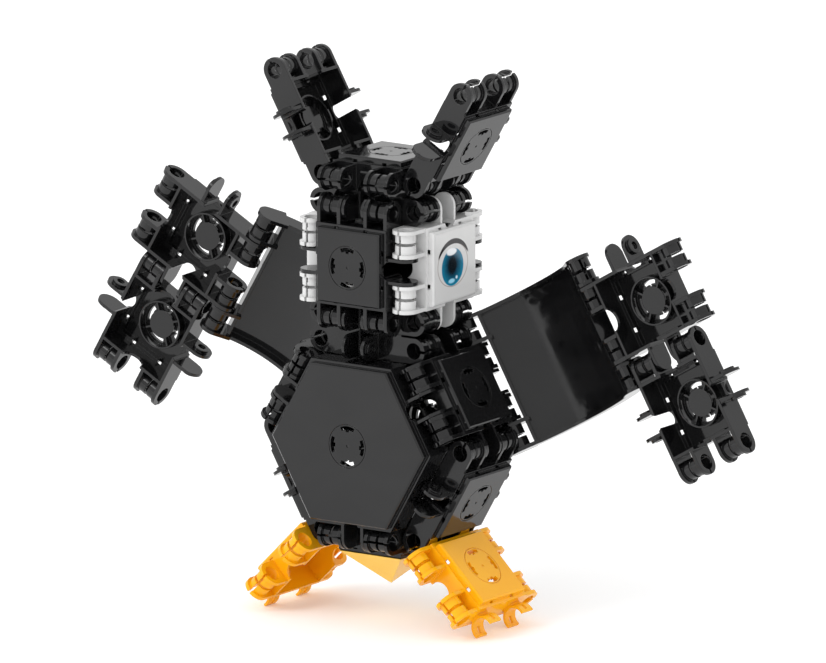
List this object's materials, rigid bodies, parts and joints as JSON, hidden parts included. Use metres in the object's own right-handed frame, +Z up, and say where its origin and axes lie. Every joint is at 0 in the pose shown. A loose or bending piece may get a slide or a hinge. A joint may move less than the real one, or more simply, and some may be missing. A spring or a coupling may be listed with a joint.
{
  "type": "hinged tile construction toy creature",
  "caption": "Winged, eared creature snapped together from square, hexagonal, curved, clip and pyramid plastic tiles that hinge on round barrels.",
  "frame": {"origin": "on the ground, under the middle of the whole figure's width and depth", "axes": "+X to the viewer's right when facing the creature, -Y out of its front face, +Z up"},
  "size_m": [0.2832, 0.0622, 0.201],
  "materials": {
    "black_abs": "glossy",
    "white_abs": "glossy",
    "orange_abs": "glossy",
    "yellow_abs": "glossy",
    "printed_label": "satin"
  },
  "bodies": {
    "body_and_head": {"body_front_hexagon": "black_abs", "body_back_hexagon": "black_abs", "body_top_tile": "black_abs", "body_bottom_tile": "black_abs", "body_upper_right_tile": "black_abs", "body_upper_left_tile": "black_abs", "body_lower_right_tile": "black_abs", "body_lower_left_tile": "black_abs", "head_bottom_tile": "black_abs", "head_top_tile": "black_abs", "head_front_tile": "black_abs", "head_back_tile": "black_abs", "head_right_tile": "white_abs", "head_left_tile": "white_abs", "eye_print_right": "printed_label", "eye_print_left": "printed_label", "crown_tile": "black_abs", "pyramid_cap": "yellow_abs"},
    "ear_right": {"ear_tile_right": "black_abs"},
    "wing_panel_body_right": {"wing_panel_right": "black_abs"},
    "wing_outer_right": {"wing_outer_tile_right": "black_abs"},
    "wing_tip_right": {"wing_tip_tile_right": "black_abs"},
    "foot_right": {"foot_tile_right": "orange_abs"},
    "ear_left": {"ear_tile_left": "black_abs"},
    "wing_panel_body_left": {"wing_panel_left": "black_abs"},
    "wing_outer_left": {"wing_outer_tile_left": "black_abs"},
    "wing_tip_left": {"wing_tip_tile_left": "black_abs"},
    "foot_left": {"foot_tile_left": "orange_abs"}
  },
  "joints": [
    {"name": "ear_hinge_right", "type": "hinge", "parent": "body_and_head", "child": "ear_right", "pos_m": [0.02, -0.00361, 0.16171], "axis": [0, 1, 0], "range_deg": [-25, 60]},
    {"name": "wing_root_hinge_right", "type": "hinge", "parent": "body_and_head", "child": "wing_panel_body_right", "pos_m": [0.03, 0.01639, 0.08419], "axis": [0.5, 0, -0.866], "range_deg": [-50, 30]},
    {"name": "wing_outer_hinge_right", "type": "hinge", "parent": "wing_panel_body_right", "child": "wing_outer_right", "pos_m": [0.07899, 0.01639, 0.11247], "axis": [0.5, 0, -0.866], "range_deg": [-35, 75]},
    {"name": "wing_tip_hinge_right", "type": "hinge", "parent": "wing_outer_right", "child": "wing_tip_right", "pos_m": [0.1063, 0.01587, 0.10515], "axis": [-0.8657, 0.0262, -0.4998], "range_deg": [-50, 60]},
    {"name": "foot_hinge_right", "type": "hinge", "parent": "body_and_head", "child": "foot_right", "pos_m": [0.02, -0.00361, 0.03223], "axis": [0, 1, 0], "range_deg": [-6, 38]},
    {"name": "ear_hinge_left", "type": "hinge", "parent": "body_and_head", "child": "ear_left", "pos_m": [-0.02, -0.00361, 0.16171], "axis": [0, -1, 0], "range_deg": [-25, 60]},
    {"name": "wing_root_hinge_left", "type": "hinge", "parent": "body_and_head", "child": "wing_panel_body_left", "pos_m": [-0.03, 0.01639, 0.08419], "axis": [0.5, 0, 0.866], "range_deg": [-50, 30]},
    {"name": "wing_outer_hinge_left", "type": "hinge", "parent": "wing_panel_body_left", "child": "wing_outer_left", "pos_m": [-0.07899, 0.01639, 0.11247], "axis": [0.5, 0, 0.866], "range_deg": [-35, 75]},
    {"name": "wing_tip_hinge_left", "type": "hinge", "parent": "wing_outer_left", "child": "wing_tip_left", "pos_m": [-0.1063, 0.01587, 0.10515], "axis": [-0.8657, -0.0262, 0.4998], "range_deg": [-50, 60]},
    {"name": "foot_hinge_left", "type": "hinge", "parent": "body_and_head", "child": "foot_left", "pos_m": [-0.02, -0.00361, 0.03223], "axis": [0, -1, 0], "range_deg": [-6, 38]}
  ]
}
